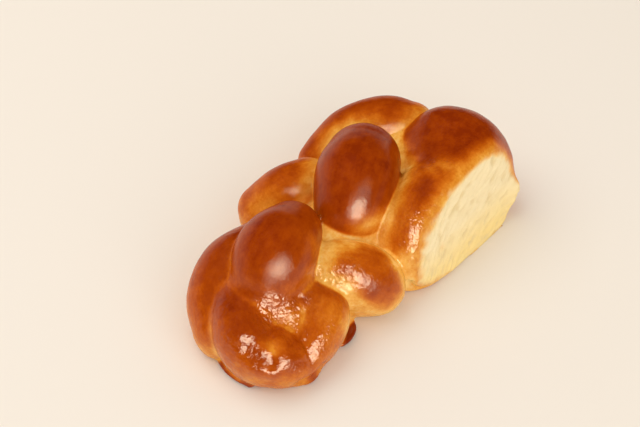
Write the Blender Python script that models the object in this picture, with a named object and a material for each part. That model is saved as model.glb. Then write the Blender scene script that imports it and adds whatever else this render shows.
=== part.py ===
"""A braided loaf of sweet white bread, as one closed solid that rests on its flat base.

Metres, +Z up. X runs along the loaf, from its tucked-under end at -X to its far end at +X. The
loaf was baked against a neighbour, and the torn side where the two were pulled apart faces -Y.
The origin is on the resting surface, under the middle of the loaf.
"""

import math

import bmesh
import bpy
from mathutils import Matrix, Vector

# Driving dimensions.
LOAF_LENGTH = 0.2226
DESIGN_LENGTH = 222.6  # the courses below are millimetres on a loaf of this length
UNIT = LOAF_LENGTH / DESIGN_LENGTH

# Each strand's course: (x, y, height, radius) of its centre-line, where it shows or fills the loaf.
STRANDS = {
    "crown": ((33, 10, 47, 23), (17, 1.5, 50, 24.5), (3.5, -5.5, 42, 21), (1.5, -4.5, 36, 18)),
    "near_crown": (
        (-34.5, 6, 44, 18),
        (-54.5, -0.5, 47, 23),
        (-66, -4, 38, 19.5),
        (-69.5, -12.5, 30, 14.5),
        (-70.5, -21.5, 24, 12),
        (-72, -31, 18, 9),
        (-76, -37, 13, 6),
    ),
    "far_end": (
        (77, -5.5, 38, 18),
        (85, -13.5, 41, 22),
        (88.5, -25, 39, 23),
        (89.5, -37.5, 31, 21),
        (89, -42, 21, 20),
    ),
    "torn_shoulder": ((64, -10, 35, 16), (65.5, -20.5, 38, 20), (73.5, -31, 37, 21)),
    "torn_body": ((50, -40, 36, 24), (62, -41, 37, 24.5), (76, -41, 34, 24.5), (86, -40, 22, 21)),
    "torn_foot": (
        (18.5, -37, 8, 15),
        (34.5, -45, 8, 18),
        (60.5, -47, 8, 19),
        (82.5, -46, 8, 19),
        (89.5, -41, 10, 19),
    ),
    "far_arch": (
        (31.5, 45, 28, 11),
        (42, 42.5, 32, 14),
        (56.5, 37, 37, 17.5),
        (74.5, 26, 38, 19),
        (84, 15.5, 36, 17),
    ),
    "back_middle": ((9.5, 32, 34, 15), (-4.5, 38.5, 32, 15.5), (-15, 46.5, 21, 15)),
    "torn_side": ((39, -34, 37, 21), (27, -36, 32.5, 22), (19, -38.5, 25, 21.5), (16, -41, 16, 19.5)),
    "near_side": (
        (-33, -18, 28, 16),
        (-28, -26, 29, 18.5),
        (-20.5, -33.5, 24, 19.5),
        (-15.5, -38.5, 18.5, 18.5),
        (-13.5, -39.5, 15, 17.5),
    ),
    "back_end": ((-48, 19, 34, 15), (-68.5, 20.5, 30, 19), (-84.5, 18, 22, 16.5), (-95, 5.5, 17, 15.5)),
    "end_loop": (
        (-81, 5.5, 27, 14),
        (-92.5, -9, 25, 16.5),
        (-95.5, -22, 19, 16),
        (-91, -32.5, 17, 15),
        (-86, -40, 13, 12),
        (-81, -44, 10, 9.5),
        (-70.5, -41.5, 15, 12),
        (-55.5, -36, 20, 15),
        (-51.5, -30, 24, 13),
        (-57, -23, 25, 13),
    ),
    "core": (
        (-78.5, -12, 9, 22),
        (-48.5, -9, 12, 28),
        (4.5, -4, 12, 32),
        (65.5, 0, 14, 34),
        (85.5, -18, 20, 26),
    ),
    "back_tuck": ((-36.5, 22, 27, 13), (-40.5, 33, 15, 15)),
    "back_inner": ((11.5, 34, 27, 14), (16.5, 46, 15, 16)),
    "far_tuck": ((87.5, -2, 30, 15), (94.5, -3, 15, 16)),
    "near_foot": ((-66.5, -30, 5, 14), (-20.5, -25, 6, 14), (19.5, -33, 6, 15)),
    "back_foot": (
        (-59.5, 22, 8, 15),
        (-19.5, 29, 8, 17),
        (20.5, 32, 8, 17),
        (60.5, 25, 8, 20),
        (83.5, 7, 8, 20),
    ),
}

# A strand sags towards the tray: its lower half is a taller half ellipsoid than its upper half.
SAG = 1.35
FIRM_SAG = 1.15
FIRM_STRANDS = ("near_side", "end_loop")
EGG_SPACING = 3 * UNIT

# The torn side: a plane that leans back, a little full in its middle.
TEAR_START_X = 5.5 * UNIT
TEAR_FOOT_Y = -60.5 * UNIT
TEAR_LEAN = math.atan(0.2)
TEAR_FULLNESS = 1.2 * UNIT
TEAR_WIDTH = 130 * UNIT
TEAR_BELOW = 30 * UNIT
TEAR_HEIGHT = 120 * UNIT

# How finely the strands are fused, and how much the faceted result is thinned.
FUSE_CELL = 2 * UNIT
SOFTEN_ROUNDS = 3
KEEP_FACES = 0.2
CRUST_COLOUR = (0.42, 0.13, 0.02, 1.0)
CRUST_ROUGHNESS = 0.35


def clear_scene():
    for obj in list(bpy.data.objects):
        bpy.data.objects.remove(obj, do_unlink=True)


def object_of(mesh_builder, name):
    mesh = bpy.data.meshes.new(name)
    mesh_builder.to_mesh(mesh)
    mesh_builder.free()
    obj = bpy.data.objects.new(name, mesh)
    bpy.context.collection.objects.link(obj)
    return obj


def curve_between(before, start, end, after, part):
    """The Catmull-Rom curve from start to end, at part = 0 to 1 of the way."""
    return 0.5 * (
        2 * start
        + (end - before) * part
        + (2 * before - 5 * start + 4 * end - after) * part**2
        + (3 * start - before - 3 * end + after) * part**3
    )


def along(course):
    """Points (x, y, height, radius) in metres along a strand, close enough to fuse smoothly."""
    knots = [Vector(knot) * UNIT for knot in course]
    knots = [2 * knots[0] - knots[1], *knots, 2 * knots[-1] - knots[-2]]
    points = []
    for before, start, end, after in zip(knots, knots[1:], knots[2:], knots[3:]):
        steps = math.ceil((end - start).length / EGG_SPACING)
        points += [curve_between(before, start, end, after, i / steps) for i in range(steps)]
    return [*points, knots[-2]]


def add_egg(mesh_builder, point, sag):
    """A ball round the point, whose lower half reaches down towards the base."""
    x, y, height, radius = point
    ball = bmesh.ops.create_icosphere(mesh_builder, subdivisions=3, radius=radius)
    stretch = max(1.0, sag * height / radius)
    for vertex in ball["verts"]:
        if vertex.co.z < 0:
            vertex.co.z *= stretch
        vertex.co += Vector((x, y, height))


def strands():
    """Every strand as a chain of eggs, in one mesh that the modifiers fuse."""
    mesh_builder = bmesh.new()
    for name, course in STRANDS.items():
        sag = FIRM_SAG if name in FIRM_STRANDS else SAG
        for point in along(course):
            add_egg(mesh_builder, point, sag)
    return object_of(mesh_builder, "loaf")


def as_cutter(obj):
    obj.hide_render = True
    obj.display_type = "WIRE"
    return obj


def tear_cutter():
    """What lies beyond the torn side: a block with a shallow hollow for the side's full middle."""
    mesh_builder = bmesh.new()
    bmesh.ops.create_grid(mesh_builder, x_segments=12, y_segments=8, size=0.5)
    for vertex in mesh_builder.verts:
        fullness = math.cos(math.pi * vertex.co.x) * math.cos(math.pi * vertex.co.y)
        vertex.co.z = TEAR_FULLNESS * fullness
        vertex.co.x = TEAR_START_X + (vertex.co.x + 0.5) * TEAR_WIDTH
        vertex.co.y = (vertex.co.y + 0.5) * TEAR_HEIGHT - TEAR_BELOW
    block = bmesh.ops.extrude_face_region(mesh_builder, geom=mesh_builder.faces[:])
    outer = [item for item in block["geom"] if isinstance(item, bmesh.types.BMVert)]
    bmesh.ops.translate(mesh_builder, verts=outer, vec=(0, 0, TEAR_WIDTH))
    bmesh.ops.recalc_face_normals(mesh_builder, faces=mesh_builder.faces[:])
    cutter = object_of(mesh_builder, "tear_cutter")
    cutter.matrix_world = Matrix.Translation((0, TEAR_FOOT_Y, 0)) @ Matrix.Rotation(
        math.pi / 2 - TEAR_LEAN, 4, "X"
    )
    return as_cutter(cutter)


def base_cutter():
    """Everything under the resting surface."""
    mesh_builder = bmesh.new()
    bmesh.ops.create_cube(mesh_builder, size=2 * LOAF_LENGTH)
    bmesh.ops.translate(mesh_builder, verts=mesh_builder.verts[:], vec=(0, 0, -LOAF_LENGTH))
    return as_cutter(object_of(mesh_builder, "base_cutter"))


def fuse(obj):
    remesh = obj.modifiers.new("fuse", "REMESH")
    remesh.mode = "VOXEL"
    remesh.voxel_size = FUSE_CELL
    remesh.use_smooth_shade = True


def soften(obj):
    smooth = obj.modifiers.new("soften", "SMOOTH")
    smooth.factor = 0.5
    smooth.iterations = SOFTEN_ROUNDS


def cut(obj, cutter):
    boolean = obj.modifiers.new(cutter.name, "BOOLEAN")
    boolean.operation = "DIFFERENCE"
    boolean.object = cutter


def thin(obj):
    decimate = obj.modifiers.new("thin", "DECIMATE")
    decimate.ratio = KEEP_FACES


def crust_material():
    material = bpy.data.materials.new("crust")
    material.use_nodes = True
    shader = material.node_tree.nodes["Principled BSDF"]
    shader.inputs["Base Color"].default_value = CRUST_COLOUR
    shader.inputs["Roughness"].default_value = CRUST_ROUGHNESS
    shader.inputs["Metallic"].default_value = 0.0
    return material


def main():
    clear_scene()
    loaf = strands()
    loaf.data.materials.append(crust_material())
    fuse(loaf)
    cut(loaf, tear_cutter())
    fuse(loaf)
    soften(loaf)
    thin(loaf)
    cut(loaf, base_cutter())


main()
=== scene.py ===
"""Looks for the braided loaf: a glazed, baked crust over the CAD solid, with a torn crumb side.

Metres, +Z up, in the CAD model's frame. The loaf is one piece of mesh. It starts as a copy of
the CAD solid, is remeshed finely, and is then fitted to the strands' own rounded shapes, so
that the creases, the torn side and the base come out crisp. Relief is carved last: uneven
dough, stretch marks along the strands, dents and blisters, and the fibres of the crumb.
"""

import math

import bmesh
import bpy
import numpy as np
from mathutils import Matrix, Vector, noise


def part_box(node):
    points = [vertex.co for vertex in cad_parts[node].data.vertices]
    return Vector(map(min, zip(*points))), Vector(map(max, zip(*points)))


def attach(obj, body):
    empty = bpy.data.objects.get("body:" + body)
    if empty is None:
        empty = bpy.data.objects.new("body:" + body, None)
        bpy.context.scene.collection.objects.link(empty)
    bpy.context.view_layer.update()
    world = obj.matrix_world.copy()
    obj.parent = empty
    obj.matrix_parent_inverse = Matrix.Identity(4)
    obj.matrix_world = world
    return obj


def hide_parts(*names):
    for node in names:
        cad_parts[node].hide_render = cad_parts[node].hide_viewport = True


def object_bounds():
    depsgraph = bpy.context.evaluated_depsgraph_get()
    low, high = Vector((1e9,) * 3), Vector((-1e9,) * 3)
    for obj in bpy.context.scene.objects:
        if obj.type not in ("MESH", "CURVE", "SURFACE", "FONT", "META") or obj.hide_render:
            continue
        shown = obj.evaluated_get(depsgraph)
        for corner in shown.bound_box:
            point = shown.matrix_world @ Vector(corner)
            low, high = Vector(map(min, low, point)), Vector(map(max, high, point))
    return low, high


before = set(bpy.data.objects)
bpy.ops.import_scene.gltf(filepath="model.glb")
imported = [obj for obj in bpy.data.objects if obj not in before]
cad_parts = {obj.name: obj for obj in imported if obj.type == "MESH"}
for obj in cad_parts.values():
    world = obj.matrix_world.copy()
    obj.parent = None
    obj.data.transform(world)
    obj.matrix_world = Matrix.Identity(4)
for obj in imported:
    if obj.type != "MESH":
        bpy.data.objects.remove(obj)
CAD_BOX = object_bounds()

# The loaf's own unit: the courses below are in millimetres on a loaf of the design length.
LOW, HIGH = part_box("loaf")
DESIGN_LENGTH = 222.6
UNIT = (HIGH.x - LOW.x) / DESIGN_LENGTH

# Each strand's course: (x, y, height, radius) of its centre-line.
STRANDS = {
    "crown": ((33, 10, 47, 23), (17, 1.5, 50, 24.5), (3.5, -5.5, 42, 21), (1.5, -4.5, 36, 18)),
    "near_crown": (
        (-34.5, 6, 44, 18),
        (-54.5, -0.5, 47, 23),
        (-66, -4, 38, 19.5),
        (-69.5, -12.5, 30, 14.5),
        (-70.5, -21.5, 24, 12),
        (-72, -31, 18, 9),
        (-76, -37, 13, 6),
    ),
    "far_end": (
        (77, -5.5, 38, 18),
        (85, -13.5, 41, 22),
        (88.5, -25, 39, 23),
        (89.5, -37.5, 31, 21),
        (89, -42, 21, 20),
    ),
    "torn_shoulder": ((64, -10, 35, 16), (65.5, -20.5, 38, 20), (73.5, -31, 37, 21)),
    "torn_body": ((50, -40, 36, 24), (62, -41, 37, 24.5), (76, -41, 34, 24.5), (86, -40, 22, 21)),
    "torn_foot": (
        (18.5, -37, 8, 15),
        (34.5, -45, 8, 18),
        (60.5, -47, 8, 19),
        (82.5, -46, 8, 19),
        (89.5, -41, 10, 19),
    ),
    "far_arch": (
        (31.5, 45, 28, 11),
        (42, 42.5, 32, 14),
        (56.5, 37, 37, 17.5),
        (74.5, 26, 38, 19),
        (84, 15.5, 36, 17),
    ),
    "back_middle": ((9.5, 32, 34, 15), (-4.5, 38.5, 32, 15.5), (-15, 46.5, 21, 15)),
    "torn_side": ((39, -34, 37, 21), (27, -36, 32.5, 22), (19, -38.5, 25, 21.5), (16, -41, 16, 19.5)),
    "near_side": (
        (-33, -18, 28, 16),
        (-28, -26, 29, 18.5),
        (-20.5, -33.5, 24, 19.5),
        (-15.5, -38.5, 18.5, 18.5),
        (-13.5, -39.5, 15, 17.5),
    ),
    "back_end": ((-48, 19, 34, 15), (-68.5, 20.5, 30, 19), (-84.5, 18, 22, 16.5), (-95, 5.5, 17, 15.5)),
    "end_loop": (
        (-81, 5.5, 27, 14),
        (-92.5, -9, 25, 16.5),
        (-95.5, -22, 19, 16),
        (-91, -32.5, 17, 15),
        (-86, -40, 13, 12),
        (-81, -44, 10, 9.5),
        (-70.5, -41.5, 15, 12),
        (-55.5, -36, 20, 15),
        (-51.5, -30, 24, 13),
        (-57, -23, 25, 13),
    ),
    "core": (
        (-78.5, -12, 9, 22),
        (-48.5, -9, 12, 28),
        (4.5, -4, 12, 32),
        (65.5, 0, 14, 34),
        (85.5, -18, 20, 26),
    ),
    "back_tuck": ((-36.5, 22, 27, 13), (-40.5, 33, 15, 15)),
    "back_inner": ((11.5, 34, 27, 14), (16.5, 46, 15, 16)),
    "far_tuck": ((87.5, -2, 30, 15), (94.5, -3, 15, 16)),
    "near_foot": ((-66.5, -30, 5, 14), (-20.5, -25, 6, 14), (19.5, -33, 6, 15)),
    "back_foot": (
        (-59.5, 22, 8, 15),
        (-19.5, 29, 8, 17),
        (20.5, 32, 8, 17),
        (60.5, 25, 8, 20),
        (83.5, 7, 8, 20),
    ),
}

# Thin skirts of egg wash that ran down, set on the tray and burnt.
FRILLS = {
    "frill_end": ((-102, 0, 1.5, 2.5), (-105, -9, 1.5, 3), (-105.8, -17, 1.5, 3), (-104.5, -26, 1.5, 3)),
    "frill_near": ((-87, -44.5, 1.5, 3), (-81, -48, 1.5, 3), (-74, -47.5, 2, 2.5)),
    "frill_side": ((-36, -40, 3, 2.5), (-40, -44, 3.5, 3), (-46, -46, 3, 3), (-51, -46, 3, 2.5)),
}
FRILL_FLATNESS = 0.6

# Stretches of one strand, which run into each other with no crease.
FUSED = {
    "torn_shoulder": "far_end",
    "torn_body": "far_end",
    "torn_foot": "far_end",
    "near_foot": "core",
    "back_foot": "core",
}

# How far over its neighbours each strand lies. A strand stays pale where a higher one covered it.
LAYERS = {
    "crown": 4,
    "near_crown": 4,
    "end_loop": 4,
    "back_end": 4,
    "far_end": 3,
    "torn_side": 3,
    "near_side": 2,
    "far_arch": 2,
    "back_middle": 2,
    "back_tuck": 1,
    "back_inner": 1,
    "far_tuck": 1,
    "core": 0,
    "frill_end": 4,
    "frill_near": 4,
    "frill_side": 4,
}

# How dark each strand baked, beside what its height and slope give it.
TAN = {
    "crown": 0.25,
    "near_crown": 0.2,
    "end_loop": 0.27,
    "far_end": 0.25,
    "near_side": 0.03,
    "torn_side": 0.08,
    "far_arch": 0.16,
    "back_middle": 0.12,
    "back_end": 0.2,
    "back_tuck": 0.1,
    "back_inner": 0.1,
    "far_tuck": 0.1,
    "core": -0.1,
    "frill_end": 0.2,
    "frill_near": 0.35,
    "frill_side": 0.3,
}

# How thick and rippled the glaze dried on each strand.
GLAZE = {
    "near_side": 0.6,
    "end_loop": 0.7,
    "torn_side": 0.8,
    "far_end": 0.35,
    "back_end": 0.4,
    "core": 0.5,
}
THIN_GLAZE = 0.15

# Places where the glaze dried in ripples: (x, y, height, radius, strength).
POOLS = (
    (-78, -24, 34, 18, 1.5),
    (-42, -25, 40, 11, 1.5),
    (50, -34, 59, 13, 1.3),
    (13, -40, 48, 13, 1.8),
    (-4, -20, 54, 14, 0.45),
    (-35, -32, 40, 14, 2.1),
    (-86, -20, 36, 13, 1.1),
    (-62, -18, 50, 16, 0.4),
)

# Places that baked paler (below 0) or darker: (x, y, height, radius, amount). Some pale dabs are partly
# painted light.
# The pale dabs on the crown's lower side, and round the highlights on the end loop, the near crown and
# the torn side, also stand in for a glow of light round the glaze's highlights.
DABS = (
    (51, -36, 60, 14, -0.5),
    (34, -38, 54, 11, 0.15),
    (50, -16, 49, 10, -0.2),
    (50, 34, 52, 15, -0.25),
    (38, 40, 45, 14, -0.3),
    (-104.5, -26, 2, 8, 0.5),
    (-80, -50, 2, 8, 0.45),
    (62, 26, 55, 12, -0.2),
    # Paler bake on the crown's lower side, which is partly a painted glow of light round its highlight.
    (-4, -22, 47, 16, -0.4),
    (7, -55, 12, 15, -0.5),
    (8, -27, 45, 10, -0.25),
    (-74, -30, 32, 14, -0.3),
    (-56, -39, 28, 20, -0.42),
    (-25, 38, 36, 16, -0.3),
    (-20, -50, 25, 17, 0.36),
    (-31, -46, 30, 12, 0.3),
    (-90, -38, 30, 10, -0.2),
    (-24, -26, 46, 14, -0.3),
    (-34, -22, 42, 14, -0.2),
    (-22, -28, 50, 10, -0.2),
    (1, -50, 30, 14, -0.3),
    (-51, -47, 20, 14, -0.3),
    (-97, -36, 30, 5, -0.15),
    (-9, 33, 43, 17, -0.15),
    (-42, -18, 58, 12, -0.2),
    (-95, -33, 32, 9, -0.3),
    (-88, -12, 38, 12, -0.12),
    (-72, -47, 22, 13, -0.2),
    (2, -30, 46, 13, -0.2),
    (-52, -24, 42, 14, -0.2),
    (16, -46, 46, 15, -0.2),
)

# Dents (above 0) and ridges (below 0): from, to, half-width and depth, in units.
DENTS = (
    ((-91, -30, 33), (-100.6, -39.5, 25.9), 3.2, 1.9),
    ((-91.1, -18.9, 38.2), (-91.1, -18.9, 38.2), 1.4, 0.8),
    ((-75.4, 13.1, 48), (-82.8, 2.7, 43.2), 1.2, 2.5),
    ((14.3, -4.6, 73), (14.3, -4.6, 73), 1.6, -0.5),
    ((-83, -14, 40), (-82.4, -29.7, 28.8), 1.6, -0.7),
    ((-82.4, -29.7, 28.8), (-82.7, -43.5, 24.6), 1.8, -1.2),
    ((-66, -34.8, 30.7), (-80.4, -41.9, 24.9), 1.6, -1.0),
    ((-69.3, -45.5, 27.6), (-83.5, -46.3, 23.1), 2.6, -0.7),
    ((-83.5, -46.3, 23.1), (-92.4, -44.1, 26.1), 2.4, -0.7),
    ((-102, -17, 36), (-102, -17, 36), 6, -1.5),
    ((-105, -26, 32), (-103, -33, 29), 4.5, 1.3),
    ((-107.5, -31.5, 23), (-102, -41, 21.5), 3.6, -1.4),
    ((13, -42, 46), (20, -40, 50), 8, -1.2),
    ((-88, -51, 6), (-75, -53.5, 7), 6, 3.5),
    ((1, -52, 12), (3, -54, 2), 3, 5),
    ((6, -56, 2), (11, -57, 0), 4, 3),
    ((98, -55, 22), (95, -57, 14), 5.5, -3.8),
    ((98, -55, 20), (98, -55, 20), 3, -1.2),
    ((-45, -31, 40), (-37, -38, 37), 5, 1.8),
)

# A strand sags towards the tray: its lower half is a taller half ellipsoid than its upper half.
SAG = 1.35
FIRM_SAG = 1.15
FIRM_STRANDS = ("near_side", "end_loop")
EGG_SPACING = 2.0

# How far inside the strands' own shapes the crust lies, to leave room for the relief.
INSET = 0.1

# How sharply surfaces meet, as the width over which they are blended.
CREASE_WIDTH = 1.7
SOFT_CREASES = (
    ("far_end", "torn_side", 10.0),
    ("near_crown", "end_loop", 9.0),
    ("near_crown", "near_side", 4.0),
    ("end_loop", "back_end", 2.5),
    ("end_loop", "near_side", 4.0),
)
FUSED_WIDTH = 9.0
BASE_WIDTH = 3.0
TEAR_WIDTH = 4.5
END_ROUNDING = 9.5
FOOT_ROUNDING = 14.0
FOOT_TUCK = 0.9

# The torn side: a plane that leans back.
TEAR_START_X = 5.5
TEAR_FOOT_Y = -60.5
TEAR_LEAN = math.atan(0.2)

COARSE_CELL = 1.7
FINE_CELL = 1.25
REFINE_GAP = 3.0
REFINE_TEAR = -3.0
FAR_AWAY = 60.0
REACH = 12.0

# How widely a crease stays pale, on the strand that lies under and on the one over it.
COVERED_BAND = 16.0
EDGE_BAND = 3.0
LEVEL_PALENESS = 0.3

# The (x, height) that the crumb's fibres fan out round.
FIBRE_CENTRE = (40.0, 25.0)


def curve_between(before, start, end, after, part):
    """The Catmull-Rom curve from start to end, at part = 0 to 1 of the way."""
    return 0.5 * (
        2 * start
        + (end - before) * part
        + (2 * before - 5 * start + 4 * end - after) * part**2
        + (3 * start - before - 3 * end + after) * part**3
    )


def along(course):
    """Rows (x, y, height, radius) in units, evenly spaced along a strand."""
    knots = np.array(course, float)
    knots = np.vstack([2 * knots[0] - knots[1], knots, 2 * knots[-1] - knots[-2]])
    rows = []
    for i in range(len(course) - 1):
        before, start, end, after = knots[i : i + 4]
        steps = math.ceil(np.linalg.norm(end - start) / EGG_SPACING)
        rows += [curve_between(before, start, end, after, step / steps) for step in range(steps)]
    return np.array([*rows, knots[-2]])


def egg_depths(eggs, sag, flatness, points):
    """Signed distance from the surface of each egg (rows) to each point (columns), in units."""
    offset = points[None, :, :] - eggs[:, None, :3]
    radius = eggs[:, 3:4]
    stretch = np.maximum(1.0, sag * eggs[:, 2:3] / radius)
    stretch = np.where(offset[..., 2] < 0, stretch, flatness)
    flat = offset[..., 0] ** 2 + offset[..., 1] ** 2
    near = np.sqrt(flat + (offset[..., 2] / stretch) ** 2)
    slope = np.sqrt(flat + (offset[..., 2] / stretch**2) ** 2)
    return near * (near - radius) / np.maximum(slope, 1e-6)


def around(offset, axis):
    """The angle of each offset about its strand's axis, with 0 at the top."""
    side = np.cross(axis, (0, 0, 1))
    side /= np.maximum(np.linalg.norm(side, axis=1, keepdims=True), 1e-6)
    top = np.cross(side, axis)
    return np.arctan2((offset * side).sum(1), (offset * top).sum(1))


def strand_depth(name, course, points):
    """Signed distance to one strand, and each point's place along and around it, in units."""
    eggs = along(course)
    sag = FIRM_SAG if name in FIRM_STRANDS else SAG
    sag = 0.0 if name in FRILLS else sag
    flatness = FRILL_FLATNESS if name in FRILLS else 1.0
    reach = eggs[:, 3].max() + REACH
    sunk = np.array([1, 1, 3]) * reach
    inside = np.all((points > eggs[:, :3].min(0) - sunk) & (points < eggs[:, :3].max(0) + reach), axis=1)
    depth = np.full(len(points), FAR_AWAY)
    grain = np.zeros((len(points), 2))
    if not inside.any():
        return depth, grain
    depths = egg_depths(eggs, sag, flatness, points[inside])
    best = np.clip(depths.argmin(0), 1, len(eggs) - 2)
    column = np.arange(depths.shape[1])
    before, middle, after = (depths[best + step, column] for step in (-1, 0, 1))
    bend = np.maximum(before - 2 * middle + after, 1e-9)
    shift = np.clip((before - after) / (2 * bend), -1, 1)
    depth[inside] = middle + shift * (after - before) / 2 + bend * shift**2 / 2
    axis = eggs[best + 1, :3] - eggs[best - 1, :3]
    axis /= np.linalg.norm(axis, axis=1, keepdims=True)
    turn = around(points[inside] - eggs[best, :3], axis)
    grain[inside, 0] = (best + shift) * EGG_SPACING
    grain[inside, 1] = turn * eggs[best, 3]
    return depth, grain


def smooth_min(a, b, width):
    overlap = np.maximum(width - np.abs(a - b), 0) / width
    return np.minimum(a, b) - overlap**2 * width / 4


def smooth_max(a, b, width):
    return -smooth_min(-a, -b, width)


def smooth_step(low, high, value):
    part = np.clip((value - low) / (high - low), 0, 1)
    return part * part * (3 - 2 * part)


def family_depths(points):
    """Signed distance and grain from each family of fused strands to the points, in units."""
    depths = {}
    grains = {}
    for name, course in {**STRANDS, **FRILLS}.items():
        family = FUSED.get(name, name)
        depth, grain = strand_depth(name, course, points)
        if family in depths:
            nearer = (depth < depths[family])[:, None]
            grain = np.where(nearer, grain, grains[family])
            depth = smooth_min(depths[family], depth, FUSED_WIDTH)
        depths[family] = depth
        grains[family] = grain
    return depths, grains


def tear_depth(points):
    """Signed distance beyond the torn side, in units."""
    out = (TEAR_FOOT_Y - points[:, 1]) * math.cos(TEAR_LEAN) + points[:, 2] * math.sin(TEAR_LEAN)
    return out - np.maximum(TEAR_START_X - points[:, 0], 0)


def skin_depth(depths):
    """Signed distance from the skin that the strands share, before the loaf was torn."""
    whole = np.full(len(depths["core"]), FAR_AWAY)
    for depth in depths.values():
        whole = smooth_min(whole, depth, CREASE_WIDTH)
    for one, other, width in SOFT_CREASES:
        whole = np.minimum(whole, smooth_min(depths[one], depths[other], width))
    return whole + INSET


def surface_depth(points):
    """Signed distance from the loaf's whole surface to the points, in units."""
    skin = skin_depth(family_depths(points)[0])
    round_end = smooth_step(82, 104, points[:, 0])
    round_foot = FOOT_ROUNDING * smooth_step(22, 4, points[:, 2])
    width = TEAR_WIDTH + (END_ROUNDING + round_foot) * round_end
    whole = smooth_max(skin, tear_depth(points), width)
    return smooth_max(whole, -points[:, 2], BASE_WIDTH)


def read_points(mesh):
    values = np.empty(len(mesh.vertices) * 3, np.float32)
    mesh.vertices.foreach_get("co", values)
    return values.reshape(-1, 3).astype(float) / UNIT


def read_normals(mesh):
    values = np.empty(len(mesh.vertices) * 3, np.float32)
    mesh.vertex_normals.foreach_get("vector", values)
    return values.reshape(-1, 3).astype(float)


def write_points(mesh, points):
    mesh.vertices.foreach_set("co", (points * UNIT).astype(np.float32).ravel())
    mesh.update()


def write_attribute(mesh, name, values):
    attribute = mesh.attributes.new(name, "FLOAT", "POINT")
    attribute.data.foreach_set("value", np.asarray(values, np.float32))


def write_vectors(mesh, name, values):
    attribute = mesh.attributes.new(name, "FLOAT_VECTOR", "POINT")
    attribute.data.foreach_set("vector", np.asarray(values, np.float32).ravel())


def remesh(obj, cell):
    modifier = obj.modifiers.new("remesh", "REMESH")
    modifier.mode = "VOXEL"
    modifier.voxel_size = cell * UNIT
    graph = bpy.context.evaluated_depsgraph_get()
    fine = bpy.data.meshes.new_from_object(obj.evaluated_get(graph))
    obj.modifiers.clear()
    obj.data = fine


def fit(mesh, rounds):
    """Moves the mesh onto the loaf's surface, along its own normals."""
    for _ in range(rounds):
        points = read_points(mesh)
        step = surface_depth(points)
        write_points(mesh, points - np.clip(step, -1.5, 1.5)[:, None] * read_normals(mesh))


def relax(mesh, rounds):
    """Evens out the mesh; the fit that follows puts it back on the surface."""
    builder = bmesh.new()
    builder.from_mesh(mesh)
    for _ in range(rounds):
        bmesh.ops.smooth_vert(
            builder, verts=builder.verts[:], factor=0.5, use_axis_x=True, use_axis_y=True, use_axis_z=True
        )
    builder.to_mesh(mesh)
    builder.free()


def refine(mesh):
    """Halves the mesh's cells along the creases and over the crumb."""
    places = survey(mesh)
    wanted = (places["gap"] < REFINE_GAP) | (places["tear"] > REFINE_TEAR)
    wanted &= places["points"][:, 2] > BASE_WIDTH
    builder = bmesh.new()
    builder.from_mesh(mesh)
    builder.verts.ensure_lookup_table()
    edges = [edge for edge in builder.edges if all(wanted[vertex.index] for vertex in edge.verts)]
    bmesh.ops.subdivide_edges(builder, edges=edges, cuts=1, use_grid_fill=True)
    builder.to_mesh(mesh)
    builder.free()


def noise_at(points, size, octaves=1):
    """Smooth noise, about -1 to 1, in bumps about as wide as the size."""
    return np.array([noise.fractal(Vector(point), 1.0, 2.0, octaves) for point in points / size])


def survey(mesh):
    """What the relief and the materials need to know about each point of the fitted mesh."""
    points = read_points(mesh)
    depths, grains = family_depths(points)
    names = list(depths)
    stack = np.array([depths[name] for name in names])
    order = np.argsort(stack, axis=0)
    first, second = order[0], order[1]
    column = np.arange(len(points))
    return {
        "points": points,
        "normals": read_normals(mesh),
        "names": names,
        "depths": stack,
        "first": first,
        "second": second,
        "gap": stack[second, column] - stack[first, column],
        "grain": np.array([grains[name] for name in names])[first, column],
        "skin": skin_depth(depths),
        "tear": tear_depth(points),
    }


def shared(places, table, default=0.0):
    """Each point's value from a table of strands, blended across the creases."""
    values = np.array([table.get(name, default) for name in places["names"]])
    own, other = values[places["first"]], values[places["second"]]
    share = 0.5 * (1 - smooth_step(0, 3, places["gap"]))
    return own * (1 - share) + other * share


def crumb_share(places):
    """1 on the torn crumb and 0 on the crust, with an uneven border below the skin."""
    points = places["points"]
    crust_end = 3.5 * smooth_step(84, 104, points[:, 0]) - 2 * smooth_step(25, 10, points[:, 2])
    below = smooth_step(1.2, 4.2, 0.9 * noise_at(points, 6, 2) - places["skin"] - crust_end)
    burnt = smooth_step(-4.5, -1.5, -points[:, 2]) * smooth_step(0.0, 0.5, noise_at(points + 9, 6))
    return below * smooth_step(-3.5, -1.4, places["tear"]) * (1 - 0.7 * burnt)


def fibre_axes(points):
    """Places along and across the crumb's fibres, which fan out over the torn side."""
    lean = math.radians(60) - math.radians(35) * smooth_step(0, 80, points[:, 0])
    x, z = points[:, 0] - FIBRE_CENTRE[0], points[:, 2] - FIBRE_CENTRE[1]
    drift = 1.6 * noise_at(points, 10)
    return x * np.cos(lean) + z * np.sin(lean), z * np.cos(lean) - x * np.sin(lean) + drift


def crumb_grain(places):
    """The crumb's fibres and its hollows, as two fields of about -1 to 1."""
    torn = places["crumb"] > 0
    length, width = fibre_axes(places["points"][torn])
    layer = np.zeros(len(length))
    fibres, hollows = np.zeros((2, len(torn)))
    fibres[torn] = noise_at(np.column_stack([length / 9, width / 2.6, layer]), 1, 2)
    hollows[torn] = noise_at(np.column_stack([length / 9, width / 4.5, layer + 7]), 1, 3)
    return fibres, hollows


def crumb_relief(places):
    """Torn fibres and the hollows between them, in units outwards."""
    hollows = smooth_step(0.1, 0.7, places["hollows"])
    return 0.9 * places["fibres"] - 0.7 * hollows + 0.9 * noise_at(places["points"], 15) - 0.4


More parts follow.
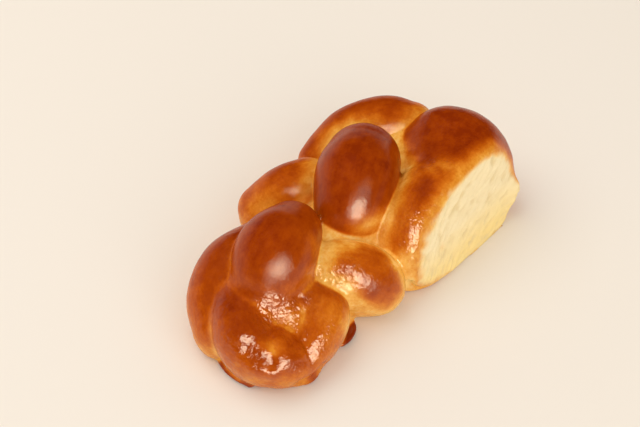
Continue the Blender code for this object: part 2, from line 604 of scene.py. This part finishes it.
def crust_relief(places):
    """Uneven dough and fine stretch marks along each strand, in units outwards."""
    points, grain = places["points"], places["grain"]
    dough = 0.45 * noise_at(points, 26) + 0.16 * noise_at(points + 40, 8)
    marks = np.column_stack([grain[:, 0] / 16, grain[:, 1] / 1.9, places["first"] * 7.0])
    wrinkles = 0.22 * places["glaze"] * noise_at(points + 90, 3.4)
    return dough + wrinkles + 0.03 * noise_at(marks, 1, 2)


def dent_relief(places):
    points = places["points"]
    relief = np.zeros(len(points))
    for start, end, width, depth in DENTS:
        start, way = np.array(start), np.subtract(end, start)
        part = np.clip((points - start) @ way / max(way @ way, 1e-9), 0, 1)
        away = np.linalg.norm(points - start - part[:, None] * way, axis=1)
        relief -= depth * np.exp(-((away / width) ** 2))
    frills = np.array([name in FRILLS for name in places["names"]])
    return np.where(frills[places["first"]], 0, relief)


def tuck_foot(points):
    """Draws in the torn side's lower edge, so that no thin rim of it lies on the tray."""
    low = smooth_step(3, 0, points[:, 2])
    over = np.where(low > 0, tear_depth(points) + FOOT_TUCK * low, 0)
    points[:, 1] += np.maximum(over, 0) / math.cos(TEAR_LEAN)
    return points


def carve(mesh, places):
    """Adds the relief, and keeps the loaf inside the CAD model's box and on its base."""
    points = places["points"]
    crumb = places["crumb"]
    relief = crumb * crumb_relief(places) + (1 - crumb) * crust_relief(places)
    relief = (relief + dent_relief(places)) * smooth_step(0, 4, points[:, 2])
    push = relief[:, None] * places["normals"]
    push[:, 2] *= smooth_step(0.3, 3, points[:, 2])
    low, high = (np.array(corner) / UNIT for corner in CAD_BOX)
    write_points(mesh, np.clip(tuck_foot(points + push), low, high))


def paleness(places):
    """How much neighbours shaded each place from the heat: all round the creases, and wide under
    a strand that lies over it."""
    depths, first = places["depths"], places["first"]
    layers = np.array([LAYERS[name] for name in places["names"]])
    nearest = depths[first, np.arange(len(first))]
    pale = np.zeros(len(first))
    for family, depth in enumerate(depths):
        band = np.where(layers[family] > layers[first], COVERED_BAND, EDGE_BAND)
        share = 1 - smooth_step(0, 1, (depth - nearest) / band)
        share *= np.where(layers[family] == layers[first], LEVEL_PALENESS, 1)
        pale = np.maximum(pale, np.where(first == family, 0, share))
    return pale


def bake_of(places):
    """How dark each place baked, from 0, cream, to 1, dark brown; some pale dabs also paint a glow of
    light round the glaze's highlights.
    """
    points, normals = places["points"], places["normals"]
    height = 0.32 * smooth_step(0, 60, points[:, 2])
    slope = 0.24 * np.maximum(normals[:, 2], -0.2)
    bake_and_glow = 0.14 + height + slope + shared(places, TAN)
    bake_and_glow += 0.08 * noise_at(points + 70, 14, 2)
    frills = np.array([name in FRILLS for name in places["names"]])[places["first"]]
    bake_and_glow += np.where(frills, 0.6 * smooth_step(1, 3.5, places["gap"]), 0)
    # The dabs: paler or darker bake, and on some pale ones a painted glow of light round the highlights.
    for x, y, level, radius, amount in DABS:
        away = np.linalg.norm(points - (x, y, level), axis=1)
        bake_and_glow += amount * (1 - smooth_step(0, 1, away / radius))
    bake_and_glow = np.maximum(bake_and_glow - 0.5 * paleness(places), np.minimum(bake_and_glow, 0.15))
    crust_end = smooth_step(84, 104, points[:, 0])
    reach = 10 + 3 * smooth_step(38, 55, points[:, 0])
    near_tear = (places["tear"] + 1.2 * noise_at(points, 9) - 5 * crust_end) / reach
    edge = smooth_step(-1, -0.05, near_tear)
    edge_bake = 0.3 - 0.22 * smooth_step(0.5, 4, -places["skin"])
    return bake_and_glow * (1 - edge) + edge_bake * edge


def glaze_of(places):
    """How strongly the glaze is rippled, with 1 on a wet strand."""
    glaze = shared(places, GLAZE, THIN_GLAZE)
    for x, y, level, radius, strength in POOLS:
        away = np.linalg.norm(places["points"] - (x, y, level), axis=1)
        glaze = np.maximum(glaze, strength * (1 - smooth_step(0.4, 1, away / radius)))
    return glaze


def paint(mesh, places):
    """Writes what the materials read: how each place baked, with its painted glow round some highlights,
    where the crumb shows, the painted shade in the crumb's hollows, and so on.
    """
    grain = np.column_stack([places["grain"], places["first"] * 31.0])
    # Painted shade for the crumb: greyer in its hollows, less so on its raised fibres.
    hollows = 0.9 * smooth_step(-0.1, 0.9, places["hollows"]) - 0.4 * places["fibres"]
    write_attribute(mesh, "bake_and_glow", bake_of(places))
    write_attribute(mesh, "crumb", places["crumb"])
    write_attribute(mesh, "hollow_shade", np.clip(hollows, 0, 1))
    write_attribute(mesh, "glaze", places["glaze"])
    write_vectors(mesh, "grain", grain)


def with_frills(mesh):
    """Adds the frills' eggs to the mesh, for the remesh to fuse."""
    builder = bmesh.new()
    builder.from_mesh(mesh)
    for course in FRILLS.values():
        for x, y, height, radius in along(course):
            ball = bmesh.ops.create_icosphere(builder, subdivisions=2, radius=radius * UNIT)
            for vertex in ball["verts"]:
                vertex.co.z *= FRILL_FLATNESS
                vertex.co += Vector((x, y, height)) * UNIT
    builder.to_mesh(mesh)
    builder.free()


def make_loaf():
    loaf = bpy.data.objects.new("crusty_loaf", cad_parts["loaf"].data.copy())
    bpy.context.collection.objects.link(loaf)
    with_frills(loaf.data)
    remesh(loaf, COARSE_CELL)
    fit(loaf.data, 2)
    relax(loaf.data, 2)
    fit(loaf.data, 3)
    remesh(loaf, FINE_CELL)
    fit(loaf.data, 1)
    relax(loaf.data, 2)
    fit(loaf.data, 2)
    refine(loaf.data)
    relax(loaf.data, 1)
    fit(loaf.data, 2)
    places = survey(loaf.data)
    places["glaze"] = glaze_of(places)
    places["crumb"] = crumb_share(places)
    places["fibres"], places["hollows"] = crumb_grain(places)
    carve(loaf.data, places)
    paint(loaf.data, places)
    loaf.data.shade_smooth()
    return loaf


# Camera, floor and light.
CAMERA_AZIMUTH = math.radians(-49)
CAMERA_ELEVATION = math.radians(46)
CAMERA_DISTANCE = 786.5 * UNIT
CAMERA_LENS = 75.0
CAMERA_AIM = Vector((1.1, 15.2, 25)) * UNIT


def direction(azimuth, elevation):
    """The unit vector towards a place seen at this azimuth and elevation; azimuth 0 is at -Y."""
    flat = math.cos(elevation)
    return Vector((math.sin(azimuth) * flat, -math.cos(azimuth) * flat, math.sin(elevation)))


def make_camera():
    camera = bpy.data.objects.new("camera", bpy.data.cameras.new("camera"))
    bpy.context.collection.objects.link(camera)
    back = direction(CAMERA_AZIMUTH, CAMERA_ELEVATION)
    camera.location = CAMERA_AIM + back * CAMERA_DISTANCE
    camera.rotation_euler = back.to_track_quat("Z", "Y").to_euler()
    camera.data.lens = CAMERA_LENS
    camera.data.clip_start = 0.01
    bpy.context.scene.camera = camera


def make_softbox(name, azimuth, elevation, distance, width, height, radiance):
    """A rectangular light that faces the loaf. Its power follows from how bright it looks."""
    light = bpy.data.lights.new(name, "AREA")
    light.shape = "RECTANGLE"
    light.size = width
    light.size_y = height
    light.energy = radiance * width * height * math.pi
    obj = bpy.data.objects.new(name, light)
    bpy.context.collection.objects.link(obj)
    away = direction(math.radians(azimuth), math.radians(elevation))
    obj.location = away * distance
    obj.rotation_euler = away.to_track_quat("Z", "Y").to_euler()
    return obj


def make_window():
    """A warm window that shows only in the glaze."""
    window = make_softbox("window", -29, 24, 1.5, 1.15, 0.9, 17)
    window.data.color = WINDOW_COLOUR
    window.visible_diffuse = False


def make_lights():
    """A soft room, its pale far wall, and the window."""
    make_softbox("room", -155, 62, 1.8, 1.6, 1.6, 1.7).visible_glossy = False
    make_softbox("front", -20, 30, 1.6, 1.4, 1.4, 1.4).visible_glossy = False
    make_softbox("back_wall", -165, 8, 1.6, 2.6, 0.9, 0.5)
    make_window()


def make_world():
    world = bpy.data.worlds.new("studio")
    world.use_nodes = True
    background = world.node_tree.nodes["Background"]
    background.inputs["Color"].default_value = (1.0, 0.97, 0.93, 1)
    background.inputs["Strength"].default_value = 0.65
    bpy.context.scene.world = world
    world.cycles_visibility.glossy = False
    bpy.context.scene.view_settings.view_transform = "Standard"


def make_floor():
    mesh = bpy.data.meshes.new("floor")
    builder = bmesh.new()
    bmesh.ops.create_grid(builder, x_segments=1, y_segments=1, size=20)
    builder.to_mesh(mesh)
    builder.free()
    floor = bpy.data.objects.new("floor", mesh)
    bpy.context.collection.objects.link(floor)
    floor.location.z = CAD_BOX[0][2]
    material = bpy.data.materials.new("pale_paper")
    material.use_nodes = True
    shader = material.node_tree.nodes["Principled BSDF"]
    shader.inputs["Base Color"].default_value = (0.85, 0.77, 0.67, 1)
    shader.inputs["Roughness"].default_value = 0.9
    shader.inputs["Specular IOR Level"].default_value = 0.0
    mesh.materials.append(material)


def srgb(red, green, blue):
    """The linear colour of an 8-bit one."""
    return tuple((value / 255) ** 2.2 for value in (red, green, blue)) + (1.0,)


# The colours that bread goes through as it bakes, from cream to dark brown.
BAKE_COLOURS = (
    (0.0, srgb(252, 214, 130)),
    (0.15, srgb(243, 178, 80)),
    (0.3, srgb(225, 141, 46)),
    (0.45, srgb(206, 109, 26)),
    (0.6, srgb(185, 84, 14)),
    (0.75, srgb(164, 67, 8)),
    (0.9, srgb(147, 55, 7)),
    (1.0, srgb(132, 45, 7)),
)
CRUMB_COLOUR = srgb(250, 229, 183)
LOW_CRUMB_COLOUR = srgb(252, 222, 150)
# The crumb's hollows are painted this greyer colour: painted shade.
HOLLOW_SHADE_COLOUR = srgb(233, 208, 156)
WINDOW_COLOUR = (1.0, 0.92, 0.68)
THIN_COAT = 0.5
THICK_COAT = 1.0
COARSE_PORES = 0.2
FINE_PORES = 0.05


class Tree:
    """A material's nodes, with short ways to add and join them."""

    def __init__(self, name):
        self.material = bpy.data.materials.new(name)
        self.material.use_nodes = True
        self.nodes = self.material.node_tree.nodes
        self.links = self.material.node_tree.links
        self.shader = self.nodes["Principled BSDF"]

    def feed(self, socket, source):
        """Sets a socket to a number or colour, or links it to another socket."""
        if isinstance(source, bpy.types.NodeSocket):
            self.links.new(source, socket)
        else:
            socket.default_value = source

    def attribute(self, name, output="Fac"):
        node = self.nodes.new("ShaderNodeAttribute")
        node.attribute_name = name
        return node.outputs[output]

    def math(self, operation, *values):
        node = self.nodes.new("ShaderNodeMath")
        node.operation = operation
        for socket, value in zip(node.inputs, values):
            self.feed(socket, value)
        return node.outputs[0]

    def scaled(self, vector, scale):
        node = self.nodes.new("ShaderNodeVectorMath")
        node.operation = "MULTIPLY"
        self.feed(node.inputs[0], vector)
        node.inputs[1].default_value = scale
        return node.outputs[0]

    def place(self):
        """Where the point is on the loaf, in units."""
        return self.scaled(self.nodes.new("ShaderNodeTexCoord").outputs["Object"], (1 / UNIT,) * 3)

    def height(self):
        """How high the point is over the resting surface, in units."""
        node = self.nodes.new("ShaderNodeSeparateXYZ")
        self.feed(node.inputs[0], self.place())
        return node.outputs["Z"]

    def noise(self, vector, scale, detail=2.0, roughness=0.5):
        node = self.nodes.new("ShaderNodeTexNoise")
        self.feed(node.inputs["Vector"], vector)
        node.inputs["Scale"].default_value = scale
        node.inputs["Detail"].default_value = detail
        node.inputs["Roughness"].default_value = roughness
        return node.outputs["Fac"]

    def spread(self, value, low, high, to_low=0.0, to_high=1.0):
        node = self.nodes.new("ShaderNodeMapRange")
        for socket, source in zip(node.inputs, (value, low, high, to_low, to_high)):
            self.feed(socket, source)
        return node.outputs["Result"]

    def ramp(self, value, stops):
        node = self.nodes.new("ShaderNodeValToRGB")
        self.feed(node.inputs["Fac"], value)
        for place, colour in stops[1:-1]:
            node.color_ramp.elements.new(place)
        for element, (place, colour) in zip(node.color_ramp.elements, stops):
            element.position = place
            element.color = colour
        return node.outputs["Color"]

    def mix(self, share, first, second):
        node = self.nodes.new("ShaderNodeMix")
        node.data_type = "RGBA"
        self.feed(node.inputs[0], share)
        self.feed(node.inputs[6], first)
        self.feed(node.inputs[7], second)
        return node.outputs[2]

    def bump(self, height, distance, strength=1.0, normal=None):
        node = self.nodes.new("ShaderNodeBump")
        node.inputs["Strength"].default_value = 1.0
        node.inputs["Distance"].default_value = distance * UNIT
        self.feed(node.inputs["Strength"], strength)
        self.feed(node.inputs["Height"], height)
        if normal is not None:
            self.feed(node.inputs["Normal"], normal)
        return node.outputs["Normal"]


def crust_material():
    """Glazed crust that turns to matt crumb on the torn side."""
    tree = Tree("crust")
    place = tree.place()
    grain = tree.attribute("grain", "Vector")
    crumb = tree.attribute("crumb")
    hollow_shade = tree.attribute("hollow_shade")
    glaze = tree.attribute("glaze")
    mottle = tree.noise(place, 0.16, 3)
    freckles = tree.noise(place, 0.7, 2)
    streaks = tree.noise(tree.scaled(grain, (0.07, 0.45, 1)), 1, 3)
    bake_and_glow = tree.attribute("bake_and_glow")
    bake_and_glow = tree.math("ADD", bake_and_glow, tree.spread(mottle, 0.3, 0.7, -0.08, 0.08))
    bake_and_glow = tree.math("ADD", bake_and_glow, tree.spread(freckles, 0.3, 0.7, -0.035, 0.035))
    bake_and_glow = tree.math("ADD", bake_and_glow, tree.spread(streaks, 0.3, 0.7, -0.03, 0.03))
    crust = tree.ramp(bake_and_glow, BAKE_COLOURS)
    inside = tree.mix(tree.spread(tree.height(), 8, 30), LOW_CRUMB_COLOUR, CRUMB_COLOUR)
    # Painted shade: greys the crumb in its hollows, on top of their carved relief.
    inside = tree.mix(hollow_shade, inside, HOLLOW_SHADE_COLOUR)
    tree.feed(tree.shader.inputs["Base Color"], tree.mix(crumb, crust, inside))
    glossy = tree.spread(glaze, 0, 1.2, THIN_COAT, THICK_COAT)
    glossy = tree.math("MULTIPLY", glossy, tree.math("SUBTRACT", 1.0, crumb))
    tree.feed(tree.shader.inputs["Coat Weight"], glossy)
    ripples = tree.math("MULTIPLY", tree.noise(place, 0.42, 2), glaze)
    pores = tree.spread(glaze, 0, 1, COARSE_PORES, FINE_PORES)
    pores = tree.math("MULTIPLY", tree.noise(place, 1.8, 1), pores)
    normal = tree.bump(tree.math("ADD", ripples, pores), 0.75)
    tree.feed(tree.shader.inputs["Normal"], normal)
    tree.feed(tree.shader.inputs["Coat Normal"], normal)
    tree.shader.inputs["Roughness"].default_value = 0.5
    tree.shader.inputs["Specular IOR Level"].default_value = 0.0
    tree.shader.inputs["Coat Roughness"].default_value = 0.13
    return tree.material


def main():
    loaf = make_loaf()
    loaf.data.materials.clear()
    loaf.data.materials.append(crust_material())
    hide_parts("loaf")
    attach(loaf, "root")
    make_floor()
    make_world()
    make_lights()
    make_camera()


main()
